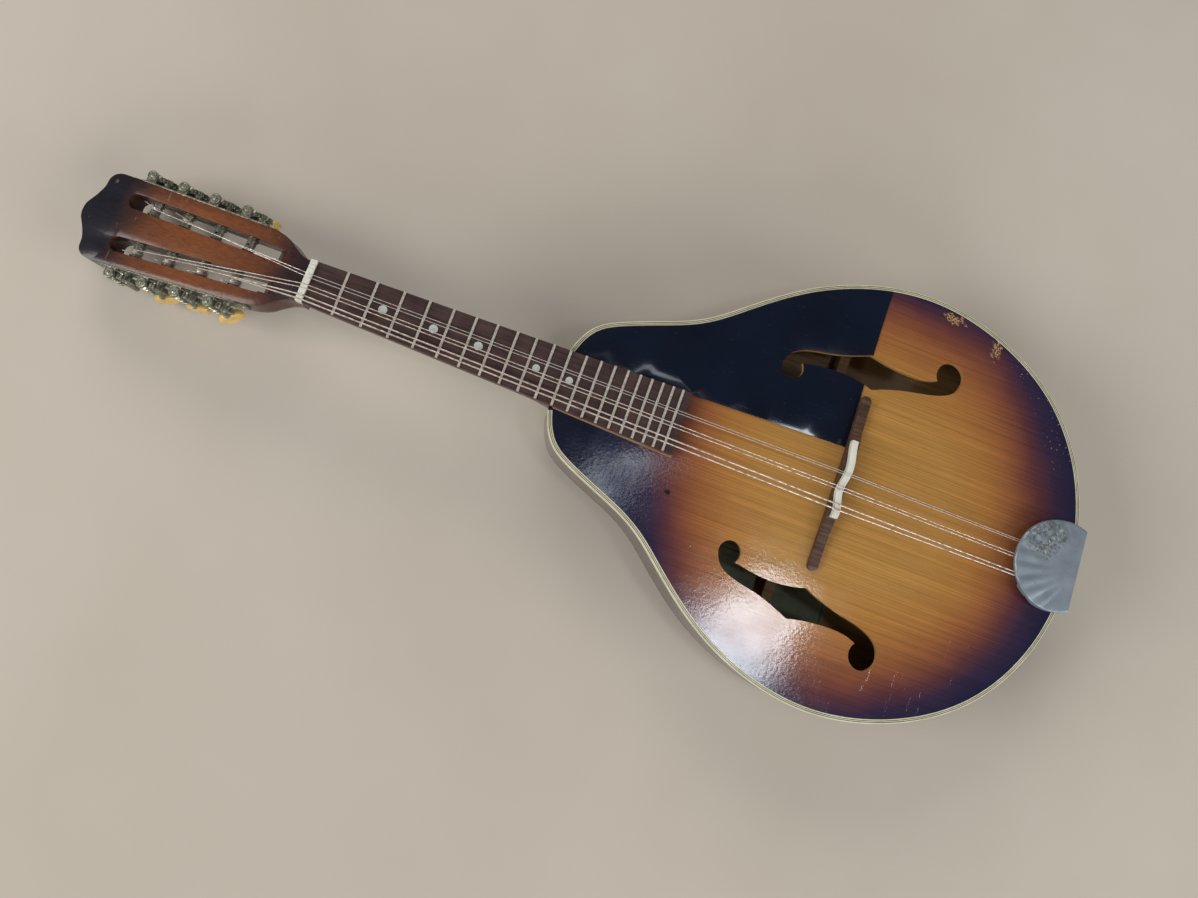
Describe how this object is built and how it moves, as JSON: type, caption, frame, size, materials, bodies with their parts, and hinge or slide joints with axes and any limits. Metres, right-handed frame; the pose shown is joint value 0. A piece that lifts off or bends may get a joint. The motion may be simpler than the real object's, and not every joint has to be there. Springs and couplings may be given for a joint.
{
  "type": "mandolin",
  "caption": "Arched-body mandolin with f-holes, slotted headstock, worm-geared tuners, floating bridge and sliding tailpiece cover.",
  "frame": {"origin": "under the middle of the instrument, on the surface it lies on", "axes": "+X from the headstock to the tail, +Y to the treble side, +Z out of the soundboard"},
  "size_m": [0.6974, 0.285, 0.0729],
  "materials": {
    "top_lacquer": "gloss sunburst lacquer",
    "body_lacquer": "gloss dark lacquer",
    "neck_lacquer": "gloss dark red-brown lacquer",
    "rosewood": "satin",
    "inner_wood": "raw",
    "binding": "gloss",
    "dark_sheet": "gloss",
    "paper": "matt",
    "fret_wire": "polished",
    "pearl": "gloss",
    "white_bone": "satin",
    "tail_plate": "tarnished plating",
    "plated_metal": "tarnished plating",
    "black_plastic": "gloss",
    "knob_plastic": "gloss",
    "string_wire": "bright"
  },
  "bodies": {
    "root": {"back_braces": "inner_wood", "back_linings": "inner_wood", "back_plate": "body_lacquer", "bridge_base": "rosewood", "bridge_saddle": "white_bone", "end_pin": "black_plastic", "fingerboard": "rosewood", "frets": "fret_wire", "neck": "neck_lacquer", "neck_block": "inner_wood", "nut": "white_bone", "paper_label": "paper", "pickguard": "dark_sheet", "position_dots": "pearl", "rib_bass": "body_lacquer", "rib_treble": "body_lacquer", "soundboard": "top_lacquer", "string_a1": "string_wire", "string_a2": "string_wire", "string_d1": "string_wire", "string_d2": "string_wire", "string_g1": "string_wire", "string_g2": "string_wire", "tail_block": "inner_wood", "tailpiece_base": "tail_plate", "tailpiece_screws": "plated_metal", "tone_bars": "inner_wood", "top_binding": "binding", "top_linings": "inner_wood", "tuner_plate_bass": "plated_metal", "tuner_plate_screws": "plated_metal", "tuner_plate_treble": "plated_metal"},
    "tuner_key_bass_1": {"worm_shaft_bass_1": "plated_metal", "tuner_knob_bass_1": "knob_plastic"},
    "post_bass_1": {"string_post_bass_1": "plated_metal"},
    "tuner_key_bass_2": {"worm_shaft_bass_2": "plated_metal", "tuner_knob_bass_2": "knob_plastic"},
    "post_bass_2": {"string_post_bass_2": "plated_metal"},
    "tuner_key_bass_3": {"worm_shaft_bass_3": "plated_metal", "tuner_knob_bass_3": "knob_plastic"},
    "post_bass_3": {"string_post_bass_3": "plated_metal"},
    "tuner_key_bass_4": {"worm_shaft_bass_4": "plated_metal"},
    "post_bass_4": {"string_post_bass_4": "plated_metal"},
    "tuner_key_treble_1": {"worm_shaft_treble_1": "plated_metal", "tuner_knob_treble_1": "knob_plastic"},
    "post_treble_1": {"string_post_treble_1": "plated_metal"},
    "tuner_key_treble_2": {"worm_shaft_treble_2": "plated_metal", "tuner_knob_treble_2": "knob_plastic"},
    "post_treble_2": {"string_post_treble_2": "plated_metal"},
    "tuner_key_treble_3": {"worm_shaft_treble_3": "plated_metal", "tuner_knob_treble_3": "knob_plastic"},
    "post_treble_3": {"string_post_treble_3": "plated_metal"},
    "tuner_key_treble_4": {"worm_shaft_treble_4": "plated_metal", "tuner_knob_treble_4": "knob_plastic"},
    "post_treble_4": {"string_post_treble_4": "plated_metal"},
    "cover": {"tailpiece_cover": "tail_plate"}
  },
  "joints": [
    {"name": "key_turn_bass_1", "type": "hinge", "parent": "root", "child": "tuner_key_bass_1", "pos_m": [-0.24222, -0.03164, 0.04455], "axis": [-0.225, 0, 0.9744], "continuous": true},
    {"name": "post_turn_bass_1", "type": "hinge", "parent": "root", "child": "post_bass_1", "pos_m": [-0.23454, -0.02612, 0.04632], "axis": [0.0389, -0.9992, 0.009], "continuous": true},
    {"name": "key_turn_bass_2", "type": "hinge", "parent": "root", "child": "tuner_key_bass_2", "pos_m": [-0.2653, -0.03259, 0.03922], "axis": [-0.225, 0, 0.9744], "continuous": true},
    {"name": "post_turn_bass_2", "type": "hinge", "parent": "root", "child": "post_bass_2", "pos_m": [-0.25761, -0.02707, 0.041], "axis": [0.0389, -0.9992, 0.009], "continuous": true},
    {"name": "key_turn_bass_3", "type": "hinge", "parent": "root", "child": "tuner_key_bass_3", "pos_m": [-0.28837, -0.03354, 0.0339], "axis": [-0.225, 0, 0.9744], "continuous": true},
    {"name": "post_turn_bass_3", "type": "hinge", "parent": "root", "child": "post_bass_3", "pos_m": [-0.28069, -0.02802, 0.03567], "axis": [0.0389, -0.9992, 0.009], "continuous": true},
    {"name": "key_turn_bass_4", "type": "hinge", "parent": "root", "child": "tuner_key_bass_4", "pos_m": [-0.31144, -0.03449, 0.02857], "axis": [-0.225, 0, 0.9744], "continuous": true},
    {"name": "post_turn_bass_4", "type": "hinge", "parent": "root", "child": "post_bass_4", "pos_m": [-0.30376, -0.02897, 0.03034], "axis": [0.0389, -0.9992, 0.009], "continuous": true},
    {"name": "key_turn_treble_1", "type": "hinge", "parent": "root", "child": "tuner_key_treble_1", "pos_m": [-0.24222, 0.03164, 0.04455], "axis": [-0.225, 0, 0.9744], "continuous": true},
    {"name": "post_turn_treble_1", "type": "hinge", "parent": "root", "child": "post_treble_1", "pos_m": [-0.23454, 0.02612, 0.04632], "axis": [0.0389, 0.9992, 0.009], "continuous": true},
    {"name": "key_turn_treble_2", "type": "hinge", "parent": "root", "child": "tuner_key_treble_2", "pos_m": [-0.2653, 0.03259, 0.03922], "axis": [-0.225, 0, 0.9744], "continuous": true},
    {"name": "post_turn_treble_2", "type": "hinge", "parent": "root", "child": "post_treble_2", "pos_m": [-0.25761, 0.02707, 0.041], "axis": [0.0389, 0.9992, 0.009], "continuous": true},
    {"name": "key_turn_treble_3", "type": "hinge", "parent": "root", "child": "tuner_key_treble_3", "pos_m": [-0.28837, 0.03354, 0.0339], "axis": [-0.225, 0, 0.9744], "continuous": true},
    {"name": "post_turn_treble_3", "type": "hinge", "parent": "root", "child": "post_treble_3", "pos_m": [-0.28069, 0.02802, 0.03567], "axis": [0.0389, 0.9992, 0.009], "continuous": true},
    {"name": "key_turn_treble_4", "type": "hinge", "parent": "root", "child": "tuner_key_treble_4", "pos_m": [-0.31144, 0.03449, 0.02857], "axis": [-0.225, 0, 0.9744], "continuous": true},
    {"name": "post_turn_treble_4", "type": "hinge", "parent": "root", "child": "post_treble_4", "pos_m": [-0.30376, 0.02897, 0.03034], "axis": [0.0389, 0.9992, 0.009], "continuous": true},
    {"name": "cover_slide", "type": "slide", "parent": "root", "child": "cover", "axis": [0.9993, 0.0366, 0], "range_m": [0, 0.042]}
  ],
  "couplings": [
    {"joint": "post_turn_bass_1", "follows": "key_turn_bass_1", "ratio": 0.071429},
    {"joint": "post_turn_bass_2", "follows": "key_turn_bass_2", "ratio": 0.071429},
    {"joint": "post_turn_bass_3", "follows": "key_turn_bass_3", "ratio": 0.071429},
    {"joint": "post_turn_bass_4", "follows": "key_turn_bass_4", "ratio": 0.071429},
    {"joint": "post_turn_treble_1", "follows": "key_turn_treble_1", "ratio": 0.071429},
    {"joint": "post_turn_treble_2", "follows": "key_turn_treble_2", "ratio": 0.071429},
    {"joint": "post_turn_treble_3", "follows": "key_turn_treble_3", "ratio": 0.071429},
    {"joint": "post_turn_treble_4", "follows": "key_turn_treble_4", "ratio": 0.071429}
  ]
}
